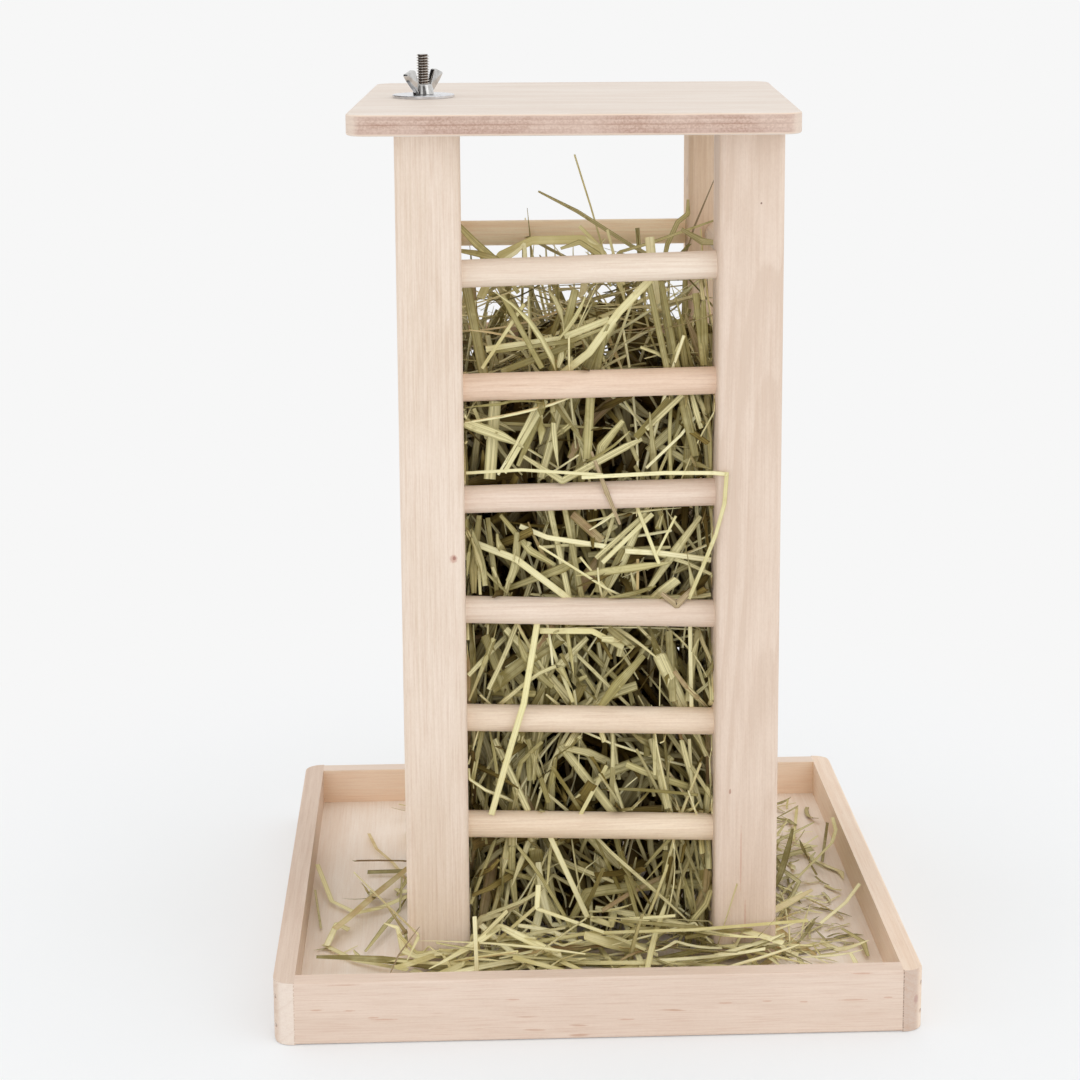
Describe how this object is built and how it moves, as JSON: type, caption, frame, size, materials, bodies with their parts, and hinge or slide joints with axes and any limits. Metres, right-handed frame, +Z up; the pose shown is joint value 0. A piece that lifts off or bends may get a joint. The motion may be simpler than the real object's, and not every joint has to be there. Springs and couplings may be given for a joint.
{
  "type": "hay feeder box",
  "caption": "Wooden hay rack tower of posts and dowel rungs in a square tray, with a swinging plywood lid held by a wing nut.",
  "frame": {"origin": "centre of the tray's footprint, on the surface that the feeder stands on", "axes": "+Z up along the tower, +X to the right and +Y to the rear, seen from the front; the bolt of the lid is on the left"},
  "size_m": [0.3, 0.3, 0.4418],
  "materials": {
    "tray_wood": "sanded, untreated",
    "floor_plywood": "sanded plywood, untreated",
    "post_wood": "sanded, untreated",
    "rung_wood": "sanded dowel, untreated",
    "lid_plywood": "sanded plywood, untreated",
    "zinc_steel": "bright zinc plated",
    "screw_steel": "zinc plated",
    "brad_steel": "plain steel"
  },
  "bodies": {
    "frame": {"tray_floor": "floor_plywood", "tray_rail_left": "tray_wood", "tray_rail_right": "tray_wood", "tray_rail_front": "tray_wood", "tray_rail_rear": "tray_wood", "corner_brads": "brad_steel", "floor_brads": "brad_steel", "post_screws": "screw_steel", "post_front_left": "post_wood", "post_front_right": "post_wood", "post_rear_left": "post_wood", "post_rear_right": "post_wood", "rung_front_1": "rung_wood", "rung_front_2": "rung_wood", "rung_front_3": "rung_wood", "rung_front_4": "rung_wood", "rung_front_5": "rung_wood", "rung_front_6": "rung_wood", "rung_rear_1": "rung_wood", "rung_rear_2": "rung_wood", "rung_rear_3": "rung_wood", "rung_rear_4": "rung_wood", "rung_rear_5": "rung_wood", "rung_rear_6": "rung_wood", "rung_left_1": "rung_wood", "rung_left_2": "rung_wood", "rung_left_3": "rung_wood", "rung_left_4": "rung_wood", "rung_left_5": "rung_wood", "rung_left_6": "rung_wood", "rung_right_1": "rung_wood", "rung_right_2": "rung_wood", "rung_right_3": "rung_wood", "rung_right_4": "rung_wood", "rung_right_5": "rung_wood", "rung_right_6": "rung_wood", "lid_rail": "post_wood", "lid_rail_pegs": "rung_wood", "carriage_bolt": "zinc_steel"},
    "lid": {"lid": "lid_plywood"},
    "washer": {"washer": "zinc_steel"},
    "wing_nut": {"wing_nut": "zinc_steel"}
  },
  "joints": [
    {"name": "lid_swing", "type": "hinge", "parent": "frame", "child": "lid", "pos_m": [-0.076, 0, 0.411], "axis": [0, 0, 1], "continuous": true},
    {"name": "nut_climb", "type": "slide", "parent": "frame", "child": "washer", "axis": [0, 0, 1], "range_m": [0, 0.014]},
    {"name": "nut_turn", "type": "hinge", "parent": "washer", "child": "wing_nut", "pos_m": [-0.076, 0, 0.4225], "axis": [0, 0, 1], "range_deg": [0, 3960]}
  ],
  "couplings": [
    {"joint": "nut_climb", "follows": "nut_turn", "m_per_rad": 0.00020213}
  ]
}
